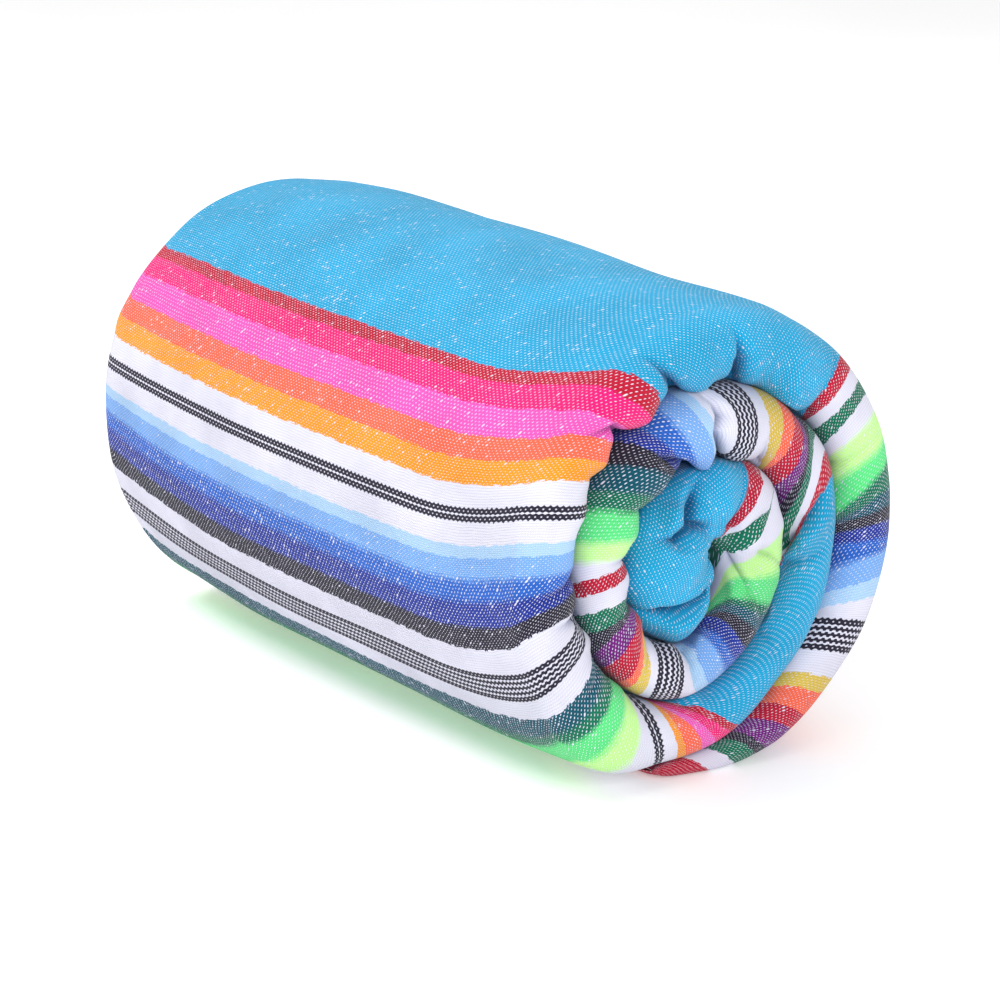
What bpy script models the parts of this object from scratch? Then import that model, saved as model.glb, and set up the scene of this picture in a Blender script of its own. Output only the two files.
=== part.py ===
"""A rolled serape: one striped cloth folded into a thick strip and wound into a bundle.

The roll lies on its side. Its axis runs along X, the end that the photo shows faces +X, the striped
front faces -Y and the floor is z = 0. Sizes are in metres. Angles are in degrees from +Y towards +Z,
and they keep growing along the winding, from the free edge under the roll to the core.
"""

import math
from collections import namedtuple

import bmesh
import bpy
from mathutils import Vector

# Driving dimensions of the roll
ROLL_LENGTH = 0.324
AXIS_HEIGHT = 0.092
BODY_BULGE = 0.055
FREE_EDGE_LIFT = 0.006
FREE_EDGE_SETBACK = 0.009
CORE_RISE = 0.002

# Driving dimensions of the cloth
WALL = 0.0020
GAP = 0.0003
SEAM = 0.0012
FOLD_DEPTH = 0.0135
VALLEY_DEPTH = 0.0165
HIDDEN_INSET = WALL + GAP
HIDDEN_CORE_INSET = 0.0040
STEEPEST_INSET = 2.5

# Winding angles where the stretches begin and end
FREE_EDGE = -105
FRONT = 180
SECOND_START = 255
CORE_START = 615
CORE_END = 975
HIDDEN_START = -57
SETBACK_SPAN = 36

# Sampling of the surfaces
TURN = 360
STEP = 12
ROWS_PER_TURN = TURN // STEP
FOLD_ANGLES = (90, 60, 30, 0, -30, -60, -90)
HIDDEN_ANGLES = (90, 30, -30, -90)
BODY_STATIONS = 5

# The strip's outer face along the winding, and the inner face of the last turn
Section = namedtuple("Section", "winding radius")

OUTER_FACE = [
    Section(-105, 0.0945), Section(-90, 0.0935), Section(-60, 0.0935), Section(-30, 0.0940),
    Section(0, 0.0950), Section(30, 0.0940), Section(60, 0.0940), Section(90, 0.0945),
    Section(120, 0.0945), Section(150, 0.0945), Section(180, 0.0930), Section(210, 0.0935),
    Section(240, 0.0958), Section(255, 0.0870), Section(270, 0.0820), Section(300, 0.0695),
    Section(330, 0.0660), Section(360, 0.0645), Section(390, 0.0655), Section(420, 0.0640),
    Section(450, 0.0660), Section(480, 0.0680), Section(510, 0.0685), Section(540, 0.0665),
    Section(570, 0.0645), Section(600, 0.0630), Section(615, 0.0600), Section(630, 0.0555),
    Section(660, 0.0460), Section(690, 0.0405), Section(720, 0.0370), Section(750, 0.0375),
    Section(780, 0.0370), Section(810, 0.0355), Section(840, 0.0370), Section(870, 0.0405),
    Section(900, 0.0430), Section(930, 0.0430), Section(960, 0.0400), Section(975, 0.0370),
]

CORE_INNER_FACE = [
    Section(615, 0.0370), Section(630, 0.0260), Section(645, 0.0170), Section(660, 0.0100),
    Section(675, 0.0055), Section(690, 0.0030), Section(720, 0.0018), Section(975, 0.0015),
]

# Colours of the stretches, linear RGB
Finish = namedtuple("Finish", "colour roughness")

TURQUOISE = Finish((0.030, 0.370, 0.620, 1.0), 0.92)
DEEP_BLUE = Finish((0.040, 0.110, 0.480, 1.0), 0.92)
SEA_GREEN = Finish((0.020, 0.210, 0.190, 1.0), 0.92)
SHADED = Finish((0.020, 0.200, 0.340, 1.0), 0.95)


def clear_scene():
    """Removes what is in the open file, so the script always starts from nothing."""
    for old in list(bpy.data.objects):
        bpy.data.objects.remove(old, do_unlink=True)


def smooth_between(sections, winding):
    """Radius at a winding angle: a smooth curve through the rows of a table."""
    last = len(sections) - 1
    place = 0
    while place < last - 1 and winding > sections[place + 1].winding:
        place += 1
    here, there = sections[place], sections[place + 1]
    span = there.winding - here.winding
    before = sections[max(place - 1, 0)]
    after = sections[min(place + 2, last)]
    slope_here = (there.radius - before.radius) / (there.winding - before.winding) * span
    slope_there = (after.radius - here.radius) / (after.winding - here.winding) * span
    t = min(max((winding - here.winding) / span, 0.0), 1.0)
    return (here.radius * (2 * t**3 - 3 * t**2 + 1) + slope_here * (t**3 - 2 * t**2 + t)
            + there.radius * (3 * t**2 - 2 * t**3) + slope_there * (t**3 - t**2))


def outer_radius(winding):
    """Radius of the strip's outer face."""
    return smooth_between(OUTER_FACE, winding)


def inner_radius(winding):
    """Radius of the strip's inner face: it lies on the next turn, or it is the core's own."""
    if winding + TURN <= CORE_END:
        return outer_radius(winding + TURN)
    return smooth_between(CORE_INNER_FACE, winding)


def tip_x(winding):
    """Distance of a fold's tip from the roll's middle: the core stands proud, the free edge is drawn in."""
    inward = (winding - FREE_EDGE) / (CORE_END - FREE_EDGE)
    drawn_in = max(1 - (winding - FREE_EDGE) / SETBACK_SPAN, 0)
    return ROLL_LENGTH / 2 - CORE_RISE * (1 - inward) - FREE_EDGE_SETBACK * drawn_in


def around(x, radius, winding, floor_inset=0.0):
    """A point of the roll, never below the floor or, past the front, below the tucked free edge."""
    angle = math.radians(winding)
    floor = -AXIS_HEIGHT + floor_inset
    if winding > FRONT:
        floor += FREE_EDGE_LIFT
    return Vector((x, radius * math.cos(angle), max(radius * math.sin(angle), floor)))


def bulged(radius, x):
    """Radius on the body, which is fuller half way along than at its ends."""
    along = x / (ROLL_LENGTH / 2 - FOLD_DEPTH)
    return radius * (1 + BODY_BULGE * max(1 - abs(along)**3, 0.0))


def radial_inset(radius_at, winding, inset):
    """How far to draw in a face along the radius so that it ends up an inset away from itself."""
    step = 2
    rise = (radius_at(winding + step) - radius_at(winding - step)) / math.radians(2 * step)
    slope = rise / radius_at(winding)
    return inset * min(math.sqrt(1 + slope**2), STEEPEST_INSET)


def fold_profile(winding, angles, inset):
    """Fold section from its outer to its inner side: radii and x, drawn inwards by an inset."""
    outer = outer_radius(winding) - GAP / 2 - radial_inset(outer_radius, winding, inset)
    inner = inner_radius(winding) + GAP / 2 + radial_inset(inner_radius, winding, inset)
    middle, half = (outer + inner) / 2, (outer - inner) / 2
    depth = min(FOLD_DEPTH, half + inset) - inset
    tip = tip_x(winding) - inset
    profile = []
    for angle in angles:
        swing = math.radians(angle)
        profile.append((middle + half * math.sin(swing), tip - depth * (1 - math.cos(swing))))
    return profile


def with_lips(profile, winding, drop=0.0):
    """Carries both sides of a fold section straight on to the floor of the valleys beside it."""
    low_x = tip_x(winding) - VALLEY_DEPTH - drop
    return [(profile[0][0], low_x)] + profile + [(profile[-1][0], low_x)]


def body_stations(profile_x):
    """Places along the body between the two end folds."""
    return [profile_x * (1 - 2 * (n + 1) / (BODY_STATIONS + 1)) for n in range(BODY_STATIONS)]


def windings(start, end):
    """Winding angles of the rows from start to end, on the shared steps."""
    count = round((end - start) / STEP)
    return [start + STEP * n for n in range(count + 1)]


def opened(angles, seam):
    """The same rows with the first one moved on, which leaves the gap of a seam."""
    return [angles[0] + seam] + angles[1:]


def add_object(name, mesh, finish, collection, parent):
    """Puts a mesh in the roll's collection with its own material."""
    material = bpy.data.materials.new(name)
    material.use_nodes = True
    shader = material.node_tree.nodes["Principled BSDF"]
    shader.inputs["Base Color"].default_value = finish.colour
    shader.inputs["Roughness"].default_value = finish.roughness
    shader.inputs["Metallic"].default_value = 0.0
    mesh.materials.append(material)
    mesh.shade_smooth()
    mesh.set_sharp_from_angle(angle=math.radians(50))
    thing = bpy.data.objects.new(name, mesh)
    thing.parent = parent
    collection.objects.link(thing)
    return thing


def cloth_wall(name, rows, finish, collection, parent):
    """A wall of cloth: an open sheet through its rows, made solid on its inner side."""
    shape = bmesh.new()
    grid = [[shape.verts.new(point) for point in row] for row in rows]
    for row, following in zip(grid, grid[1:]):
        for column in range(len(row) - 1):
            shape.faces.new((row[column], following[column], following[column + 1], row[column + 1]))
    shape.normal_update()
    mesh = bpy.data.meshes.new(name)
    shape.to_mesh(mesh)
    shape.free()
    wall = add_object(name, mesh, finish, collection, parent)
    solid = wall.modifiers.new("cloth", "SOLIDIFY")
    solid.thickness = WALL
    solid.offset = -1
    solid.use_even_offset = False
    return wall


def outer_wrap(collection, parent):
    """The outer turn: inner lip, fold, body, fold and inner lip, all round the roll."""
    rows = []
    for winding in windings(FREE_EDGE, SECOND_START):
        near = with_lips(fold_profile(winding, FOLD_ANGLES, 0.0), winding)[1:]
        shoulder_radius, shoulder_x = near[0]
        near.reverse()
        body = [(bulged(shoulder_radius, x), x) for x in body_stations(shoulder_x)]
        far = [(radius, -x) for radius, x in reversed(near)]
        rows.append([around(x, radius, winding) for radius, x in near + body + far])
    return cloth_wall("outer_wrap", [row[::-1] for row in rows], TURQUOISE, collection, parent)


def end_stretch(name, start, end, seam, side, finish, collection, parent):
    """The folded edge of an inner turn, at the near (+1) or the far (-1) end of the roll."""
    rows = []
    for winding in opened(windings(start, end), seam):
        profile = with_lips(fold_profile(winding, FOLD_ANGLES, 0.0), winding)
        rows.append([around(side * x, radius, winding) for radius, x in profile[::side]])
    return cloth_wall(name, rows, finish, collection, parent)


def hidden_profile(winding):
    """Ridge of the hidden layers inside a fold, clear of the fold's wall."""
    inset = HIDDEN_INSET if winding < CORE_START else HIDDEN_CORE_INSET
    return with_lips(fold_profile(winding, HIDDEN_ANGLES, inset), winding, GAP)


def hidden_end(shape, side):
    """One end of the hidden layers: a spiral ridge, its valleys and the hollow at the core."""
    rows, valleys = [], []
    for winding in windings(HIDDEN_START, CORE_END):
        profile = hidden_profile(winding)
        low_x = profile[-1][1] - GAP
        rows.append([shape.verts.new(around(side * x, radius, winding, HIDDEN_INSET))
                     for radius, x in profile])
        valleys.append(shape.verts.new(around(side * low_x, inner_radius(winding), winding)))
    chains = []
    for number, row in enumerate(rows):
        outside = [valleys[number - ROWS_PER_TURN]] if number >= ROWS_PER_TURN else []
        chains.append(outside + row + [valleys[number]])
    for number in range(len(chains) - 1):
        here, there = chains[number], chains[number + 1]
        if len(there) > len(here):
            there = there[1:]
        for column in range(len(here) - 1):
            corners = (here[column], here[column + 1], there[column + 1], there[column])
            shape.faces.new(corners)
    core_floor = valleys[-ROWS_PER_TURN - 1:]
    shape.faces.new(core_floor)
    shape.faces.new([core_floor[0]] + rows[-1] + [core_floor[-1]])
    return rows, valleys


def hidden_layers(collection, parent):
    """The layers inside the roll: one rounded solid between its two ridged ends."""
    shape = bmesh.new()
    near, near_valleys = hidden_end(shape, 1)
    far, far_valleys = hidden_end(shape, -1)
    columns = []
    for number in range(ROWS_PER_TURN + 1):
        winding = HIDDEN_START + STEP * number
        radius, x_end = hidden_profile(winding)[0]
        inner = [shape.verts.new(around(x, bulged(radius, x), winding, HIDDEN_INSET))
                 for x in body_stations(x_end)]
        columns.append([near[number][0]] + inner + [far[number][0]])
    for here, there in zip(columns, columns[1:]):
        for station in range(len(here) - 1):
            shape.faces.new((here[station], there[station], there[station + 1], here[station + 1]))
    near_edge = near[0] + [near_valleys[0]]
    far_edge = far[0] + [far_valleys[0]]
    step_face = near_edge + columns[-1] + far_edge[::-1] + columns[0][1:-1][::-1]
    shape.faces.new(step_face)
    bmesh.ops.triangulate(shape, faces=shape.faces[:])
    bmesh.ops.recalc_face_normals(shape, faces=shape.faces[:])
    mesh = bpy.data.meshes.new("hidden_layers")
    shape.to_mesh(mesh)
    shape.free()
    return add_object("hidden_layers", mesh, SHADED, collection, parent)


def centre_on_floor(things, parent):
    """Moves the whole roll so that its box stands centred on the floor."""
    corners = [vertex.co for thing in things for vertex in thing.data.vertices]
    low = [min(corner[axis] for corner in corners) for axis in range(3)]
    high = [max(corner[axis] for corner in corners) for axis in range(3)]
    parent.location = (-(low[0] + high[0]) / 2, -(low[1] + high[1]) / 2, -low[2])


def main():
    clear_scene()
    collection = bpy.data.collections.new("serape")
    bpy.context.scene.collection.children.link(collection)
    roll_axis = bpy.data.objects.new("roll_axis", None)
    collection.objects.link(roll_axis)
    things = [outer_wrap(collection, roll_axis), hidden_layers(collection, roll_axis)]
    second_seam = math.degrees(SEAM / inner_radius(SECOND_START))
    core_seam = math.degrees(SEAM / inner_radius(CORE_START))
    for end, side in (("near", 1), ("far", -1)):
        things.append(end_stretch("second_turn_" + end, SECOND_START, CORE_START, second_seam, side,
                                  DEEP_BLUE, collection, roll_axis))
        things.append(end_stretch("core_turn_" + end, CORE_START, CORE_END, core_seam, side,
                                  SEA_GREEN, collection, roll_axis))
    centre_on_floor(things, roll_axis)


main()
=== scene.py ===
"""A rolled serape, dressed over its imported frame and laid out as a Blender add-on.

One striped cloth is folded into a thick strip and wound into a roll that lies on its side. A place on it
is given by its winding angle in degrees, which grows inwards from the free edge under the roll, and by
its fold angle, which is 90 on the outer side of a folded edge, 0 at its tip and -90 on the inner side.
"""

import math
from collections import namedtuple

import bpy
import numpy as np
from bpy.props import FloatProperty, FloatVectorProperty, PointerProperty
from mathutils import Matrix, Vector


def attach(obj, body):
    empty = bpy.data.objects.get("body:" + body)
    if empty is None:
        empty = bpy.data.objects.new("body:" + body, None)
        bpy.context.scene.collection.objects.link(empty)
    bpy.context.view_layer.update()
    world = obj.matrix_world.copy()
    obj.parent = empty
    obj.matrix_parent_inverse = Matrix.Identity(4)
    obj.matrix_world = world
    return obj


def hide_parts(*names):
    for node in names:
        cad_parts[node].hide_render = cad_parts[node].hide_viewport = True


bl_info = {
    "name": "Rolled serape",
    "version": (1, 0, 0),
    "blender": (4, 5, 0),
    "location": "3D View > Sidebar > Serape",
    "description": "Builds a striped serape, folded into a strip and rolled up, on its packed frame",
    "category": "Add Mesh",
}

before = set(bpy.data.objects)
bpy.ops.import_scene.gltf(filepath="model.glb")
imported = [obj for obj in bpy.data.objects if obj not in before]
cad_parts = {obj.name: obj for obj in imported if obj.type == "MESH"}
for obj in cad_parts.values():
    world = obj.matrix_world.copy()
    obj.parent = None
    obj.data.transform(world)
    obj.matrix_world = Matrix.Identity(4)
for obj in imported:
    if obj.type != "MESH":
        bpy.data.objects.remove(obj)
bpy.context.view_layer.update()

# The roll, as in the solid model, in metres and degrees
AXIS = Vector((0.0, -0.00106, 0.092))
ROLL_LENGTH = 0.324
BODY_BULGE = 0.055
LOW_SLACK = 0.35
LOW_PLACE = 231
LOW_SPREAD = 15
FREE_EDGE_LIFT = 0.006
FREE_EDGE_SETBACK = 0.009
CORE_RISE = 0.002
GAP = 0.0003
FOLD_DEPTH = 0.0135
WALL = 0.0020
FREE_EDGE = -105
FRONT = 180
SECOND_START = 255
CORE_START = 615
CORE_END = 975
SETBACK_SPAN = 36
FLOOR_SOFTNESS = 0.0008
TURN = 360
MM = 0.001

# Rounding of the strip's two ends over degrees of winding, the free edge and the core's, whose cloth
# ends at its last row
CORE_LAST = 979
FREE_CLOSING = 7
CORE_CLOSING = 18
FULL_CLOSING = 0.98

# Winding angle and radius in metres of the strip's outer face, and of the last turn's inner face
OUTER_FACE = np.array([
    (-105, 0.0945), (-90, 0.0935), (-60, 0.0935), (-30, 0.0940), (0, 0.0950), (30, 0.0940),
    (60, 0.0940), (90, 0.0945), (120, 0.0945), (150, 0.0945), (180, 0.0930), (210, 0.0935),
    (240, 0.0958), (255, 0.0870), (270, 0.0820), (300, 0.0695), (330, 0.0660), (360, 0.0645),
    (390, 0.0655), (420, 0.0640), (450, 0.0660), (480, 0.0680), (510, 0.0685), (540, 0.0665),
    (570, 0.0645), (600, 0.0630), (615, 0.0600), (630, 0.0555), (660, 0.0460), (690, 0.0405),
    (720, 0.0370), (750, 0.0375), (780, 0.0370), (810, 0.0355), (840, 0.0370), (870, 0.0405),
    (900, 0.0430), (930, 0.0430), (960, 0.0400), (975, 0.0370),
])
CORE_INNER_FACE = np.array([
    (615, 0.0370), (630, 0.0260), (645, 0.0170), (660, 0.0100), (675, 0.0055), (690, 0.0030),
    (720, 0.0018), (975, 0.0015),
])

# Stripes from the free edge inwards: colour, width in millimetres, and the winding angle where each
# one starts on the near folded edge: on its outer side, its tip and, at -60 degrees, its inner side
INNER_READING = 60
LEAST_STRIPE = 1e-4
PAST_CORE = 20
Stripe = namedtuple("Stripe", "colour width outer tip inner")
STRIPES = [Stripe(*row) for row in (
    ("red", 14, -105, -109, -113), ("white", 11.5, -87.6, -91.9, -96), ("pine", 8, -80.6, -85.2, -89.4),
    ("black", 7.5, -75.6, -78.6, -83.9), ("purple", 13, -71.1, -75.9, -80.5), ("red", 8, -63, -67.8, -75),
    ("coral", 12, -58.1, -61.7, -67.8), ("mustard", 7, -49.4, -54.8, -61.7),
    ("white", 10, -46.1, -49.4, -56.1), ("five lines", 18, -39.4, -41.4, -47.8),
    ("white", 9, -28.9, -30.3, -34.4), ("sky", 16, -23.3, -24.4, -31.7), ("blue", 7, -12.2, -11.7, -18.3),
    ("indigo", 8, -8.3, -7.2, -9.4), ("black", 9, -4.4, -2.2, -4.9), ("teal", 8, -1.1, 1.7, -1.1),
    ("pine", 10, 3.3, 6.1, 0.4), ("green", 10, 11.7, 11.1, 2.5), ("lime", 12, 17.2, 18.3, 13.9),
    ("white", 9, 24.4, 27.8, 23.9), ("pine", 8, 29.4, 35, 30), ("white", 8, 35.2, 39.4, 36.7),
    ("red", 8, 39.4, 44.2, 41.7), ("turquoise", 130, 44.4, 48.9, 45), ("red", 7.3, 123.6, 116.3, 113.3),
    ("hot pink", 9.7, 128.3, 123.9, 120), ("pink", 8.6, 135.9, 131.1, 128),
    ("coral", 10.4, 143, 135.9, 133.3), ("orange", 10.4, 148.9, 143, 139.4),
    ("white", 9.7, 154.4, 148.9, 146.7), ("two lines", 7.6, 160, 155.9, 153.3),
    ("white", 8.6, 163.5, 160, 157.8), ("sky", 16.3, 168.6, 165.6, 164.4), ("blue", 7, 176.1, 173.9, 173),
    ("indigo", 9.7, 181.7, 177.8, 176.1), ("black", 11.4, 188.3, 182.2, 180),
    ("white", 10, 194.4, 187.8, 189), ("five lines", 18, 201.1, 195, 191.7),
    ("white", 7.3, 210, 202.8, 197.2), ("teal", 8, 215.2, 210, 206.1), ("pine", 6, 220, 216.7, 214),
    ("green", 12, 222.8, 222.2, 220.6), ("lime", 10, 231.1, 229.4, 227.2),
    ("white", 10, 235.6, 238.9, 232.8), ("two lines", 7.6, 251.7, 245.2, 234.5),
    ("white", 8.6, 255, 248.3, 241.7), ("orange", 8, 260, 252.8, 246), ("coral", 8, 263.3, 255, 247.8),
    ("pink", 8.6, 267, 260.8, 249), ("hot pink", 9.7, 272.8, 264.4, 250.5), ("red", 5, 279.7, 268.9, 254),
    ("turquoise", 100, 281.7, 271.7, 256), ("red", 8, 370, 375, 352), ("white", 9, 381, 384.4, 354),
    ("pine", 8, 387.8, 392.8, 360.6), ("black", 7, 398, 396, 372.2), ("purple", 8, 409, 397.8, 381.7),
    ("red", 8, 412.8, 402, 393.9), ("coral", 8, 416, 410, 406), ("mustard", 7, 420.6, 418, 409),
    ("white", 9, 431.7, 425, 412.8), ("five lines", 18, 439, 432.8, 426.7), ("white", 9, 457, 445.6, 444),
    ("sky", 16, 461, 456.7, 448), ("blue", 7, 472.5, 471, 466), ("indigo", 8, 483.5, 479.4, 474),
    ("black", 9, 492, 484.4, 478.9), ("teal", 8, 503, 490.6, 480.5), ("pine", 9, 511, 502.8, 497),
    ("green", 10, 516, 511, 507), ("lime", 9, 527.5, 522.8, 519.4), ("white", 8, 533, 531, 530),
    ("red", 6, 542, 536, 533.5), ("white", 9, 546.5, 542, 538), ("pine", 8, 553, 550, 550.5),
    ("black", 8, 560, 557.8, 557), ("purple", 8, 570, 560.6, 559), ("red", 9, 576, 568.9, 562),
    ("coral", 7, 584, 578.9, 565), ("mustard", 7, 589, 582, 568), ("white", 8, 597, 588, 578),
    ("five lines", 18, 602, 591.7, 585.6), ("white", 7, 617, 608, 604.6),
    ("sky", 16, 627.8, 611.7, 606.7), ("blue", 7, 643, 627, 620.6), ("indigo", 8, 648, 633, 623.9),
    ("black", 9, 654, 641, 631.7), ("teal", 8, 663, 650, 634), ("pine", 5, 672, 657, 637),
    ("green", 14, 676.7, 662.8, 639), ("lime", 12, 691.7, 684, 651.7), ("white", 14, 716, 713.9, 662.8),
    ("pine", 10, 750, 739, 683.9), ("white", 8, 760, 755.6, 785), ("red", 8, 771, 774, 790),
    ("turquoise", 120, 786, 785.6, 797),
)]

# Creases and swellings of a folded edge: where each one starts and ends, as winding and fold angle, its
# width in millimetres, and its depth at the start and at the end, which is less than zero for a swelling
Crease = namedtuple("Crease", "from_winding from_fold to_winding to_fold width start end")
EDGE_CREASES = [Crease(*row) for row in (
    # the outer turn
    (49.5, 50, 49.5, -9, 2.4, 1.4, 3), (49.5, -9, 44, -72, 3, 3, 4.4), (64, 14, 56, -62, 9, -1.6, -6),
    (87, 34, 84, -20, 2.8, 1.6, 11), (84, -20, 81, -86, 3.8, 11, 12), (99, 8, 97, -62, 7, -1.2, -5),
    (114, 46, 110.5, -10, 2.6, 1.4, 8.5), (110.5, -10, 105, -86, 3.4, 8.5, 11),
    (122, 32, 121, -60, 7.5, -1.6, -5.4), (140, 34, 132, -10, 2.6, 1, 7),
    (132, -10, 131, -80, 3.6, 7, 10), (141, 12, 141, -70, 4.6, -0.8, -3.2),
    (147, -30, 147, -78, 2, 0.8, 2.8), (158, 0, 157, -76, 6, -0.8, -2.8), (182, 50, 180, 0, 2.8, 0.8, 4),
    (180, 0, 176, -80, 3.4, 4, 7), (190, 20, 191, -64, 3.4, 0.8, 7), (199, 10, 201, -60, 5, -0.8, -3),
    (214, 20, 212, -72, 2.4, 0.5, 2.6), (228, 10, 226, -60, 6, -0.5, -2.2),
    (-62, 10, -66, -80, 2.8, 0.4, 2.6), (-30, 30, -34, -80, 3.2, 0.6, 2.6),
    (-46, 10, -48, -66, 6, -0.6, -2), (-8, 10, -14, -85, 3, 0.6, 3.2), (6, 20, 4, -66, 7, -0.8, -2.6),
    (24, 40, 20, -80, 3, 0.6, 3),
    # the second turn
    (272, 30, 257, -60, 2.4, 0.8, 3), (264, -10, 261, -62, 5, -0.8, -2.6),
    (300, 10, 302, -72, 3.2, 0.6, 2.6), (314, 0, 312, -70, 7, -0.8, -2.8),
    (330, -10, 326, -72, 4, -0.8, -2.6), (352, 8, 345, -33, 2.8, 1.2, 4), (345, -33, 340, -74, 3.2, 4, 5),
    (379, 26, 376, 3, 2.4, 1, 2.8), (376, 3, 366, -33, 2.6, 4.4, 8), (366, -33, 350, -76, 2.8, 8, 8),
    (368, 14, 357, -40, 4.5, -1.6, -3.8), (388, -10, 370, -76, 4, -1, -2.8),
    (410, 80, 405, 20, 10, 4, 0.8), (400, -10, 392, -72, 4, -0.6, -2.2), (425, 16, 423, -21, 2, 0.8, 2.2),
    (423, -21, 414, -72, 2.6, 2.2, 4.4), (438, 20, 433, -64, 6, -1, -3.4),
    (456, 58, 453, 18, 2.6, 2.4, 8.5), (453, 18, 456, -6, 2.6, 8.5, 9), (456, -6, 446, -80, 3, 9, 10),
    (466, 30, 461, -62, 6.5, -1.8, -4.4), (482, 80, 480, 40, 9, 3.4, 0.8),
    (489, 28, 483, -15, 2.6, 1.8, 8), (483, -15, 466, -84, 3.2, 8, 10), (498, 20, 492, -70, 6, -0.8, -3),
    (512, 20, 507, -78, 2.4, 0.6, 3), (522, 10, 519, -66, 5, -0.8, -3),
    (533, 26, 533, -78, 2.4, 0.8, 3.6), (542, 78, 546, 30, 3, 2.4, 0.8),
    (544, 10, 543, -66, 4.5, -0.6, -2.4), (557, 34, 555, -74, 2.4, 0.6, 3),
    (571, 10, 567, -68, 5.5, -0.8, -3.2), (589, 34, 579, -78, 2.4, 0.8, 3.8),
    (601, 20, 597, -66, 4.5, -0.8, -3),
    # the core and its notch
    (615, 14, 608, -72, 2.4, 0.8, 4), (627, 10, 618, -56, 4.5, -0.8, -2.4),
    (641, 24, 628, -66, 2.2, 0.8, 2.8), (657, 10, 650, -40, 4, -0.6, -2),
    (668, 44, 664, -20, 2.4, 1, 3.4), (664, -20, 680, -60, 2.4, 3.4, 2.4),
    (690, 36, 680, -24, 5.5, -1.4, -3.6), (700, 56, 712, -6, 2.4, 1.2, 3.6),
    (730, 40, 726, -20, 5, -1.2, -3), (752, 46, 757, -40, 2.2, 0.8, 2.2),
    (770, 40, 772, -20, 3.5, -0.8, -2.4), (787, 60, 790, -30, 2.2, 1.2, 4), (806, 50, 814, 10, 7, -3, -4),
    (828, 56, 842, 30, 2.6, 1.5, 11), (842, 30, 861, 6, 2.8, 11, 17), (861, 6, 878, 14, 2.6, 16, 11),
    (878, 14, 880, 40, 2.4, 10, 2), (858, 4, 846, -20, 3, 15, 6), (860, 36, 866, 28, 4, -3, -3),
    (905, 30, 900, -6, 11, -4.4, -4.4), (924, 74, 931, 40, 2.6, 2.4, 10), (931, 40, 946, 8, 2.6, 10, 10),
    (946, 8, 962, -20, 2.6, 10, 5), (948, 36, 952, 22, 4.6, -5, -4.4),
)]

# Creases and swellings of the body: winding angle and distance from the roll's middle in metres
BODY_CREASES = [Crease(*row) for row in (
    (182, 0.15, 180, 0.118, 2.6, 1, 0.2), (190, 0.15, 186, 0.112, 2.8, 1.2, 0.2),
    (199, 0.15, 197, 0.104, 5, -1, -0.2), (208, 0.15, 205, 0.118, 3, 1, 0.1),
    (171, 0.15, 169, 0.12, 3.5, 0.6, 0.1), (139, 0.15, 143, 0.122, 3.5, 0.8, 0.1),
    (113, 0.15, 121, 0.112, 4.5, 1.2, 0.1), (85, 0.15, 92, 0.112, 5, 1.2, 0.1),
    (99, 0.148, 104, 0.1, 8, -1.4, -0.1), (64, 0.148, 70, 0.09, 9, -1.6, -0.1),
    (50, 0.15, 58, 0.096, 5, 1, 0.1), (150, -0.148, 158, -0.1, 5, 1, 0.2),
    (176, -0.148, 172, -0.112, 3.5, 0.8, 0.1), (98, -0.148, 92, -0.09, 7, 1, 0.2),
    (20, 0.148, 14, 0.08, 6, 1, 0.1), (-28, 0.148, -20, 0.096, 5, 0.8, 0.1),
    (6, -0.148, 16, -0.07, 7, 1.1, 0.1), (-46, -0.148, -38, -0.104, 4, 0.9, 0.1),
    (44, -0.146, 50, -0.1, 5, 0.8, 0.1), (66, 0.085, 62, -0.03, 45, 4.6, 3.6),
    (63, -0.15, 63, -0.105, 30, -2.6, -1.6), (236, -0.16, 236, -0.11, 30, 2.6, 1.4),
)]

# How the stripes wander on the body, in degrees of winding, over a length in metres
BODY_SHIFT = 6.5
SHIFT_LENGTH = 0.060
CALM_SPAN = 40
TOP_SHIFT = 3.0
TOP_PLACE = 123.6
TOP_SPREAD = 8.0
LOW_SHIFT = 7.0
LOW_SHIFT_PLACE = 216
LOW_SHIFT_SPAN = 8
FAR_SHIFT = -3.0
FAR_LOW_SHIFT = -3.0
FAR_LOW_PLACE = 165
FAR_LOW_SPAN = 20

# The far end: how much of the stripes' slant it keeps, and its creases' turn and share of the depth
FAR_SKEW = 0.5
FAR_TURN = 31
FAR_DEPTH = 0.85

# Form of a crease: how sharp its valley is, and its raised sides
VALLEY_SHARPNESS = 1.4
VALLEY_ROUNDING = 0.02
SIDE_SHARE = 0.22
SIDE_SPREAD = 5
SIDE_LIMIT = 0.0016

# Slow unevenness: waves with their share, how they run round the roll and along it, and their phase
Wave = namedtuple("Wave", "share round along phase")
WAVES = [Wave(0.5, 3.1, 2.3, 1), Wave(0.3, 7.3, -4.1, 2), Wave(0.2, 13.7, 6.7, -1)]
WAVE_LENGTH = 0.1
EDGE_RIPPLE = 0.0007
BODY_RIPPLE = 0.0008
BODY_PHASE = 1.3

# Where the creases fade: beside the body's shoulders, on a folded edge's lips, and where a swelling
# would pass the fold's own middle
BODY_EASE = 12
LIP_END = 105
LIP_EASE = 15
SWELL_ROOM = 1.8
LEAST_SLANT = 0.1

# Grids of points: columns across a folded edge or the body, rows along the winding, and for the wrap
# the stretch where its rows stand closer, with the shares of the rows where it starts and ends
FOLD_DEGREE = 0.00025
NEAR_COLUMNS = 64
CORE_COLUMNS = 100
FAR_COLUMNS = 40
BODY_COLUMNS = 66
LIP_DROPS = (0.003, 0.0018, 0.0008)
WRAP_ROWS = 520
CLOSE_ROWS = (20, 235, 0.14, 0.96)
SECOND_ROWS = 598
CORE_ROWS = 362
BAKE_MARGIN = 0.012

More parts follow.
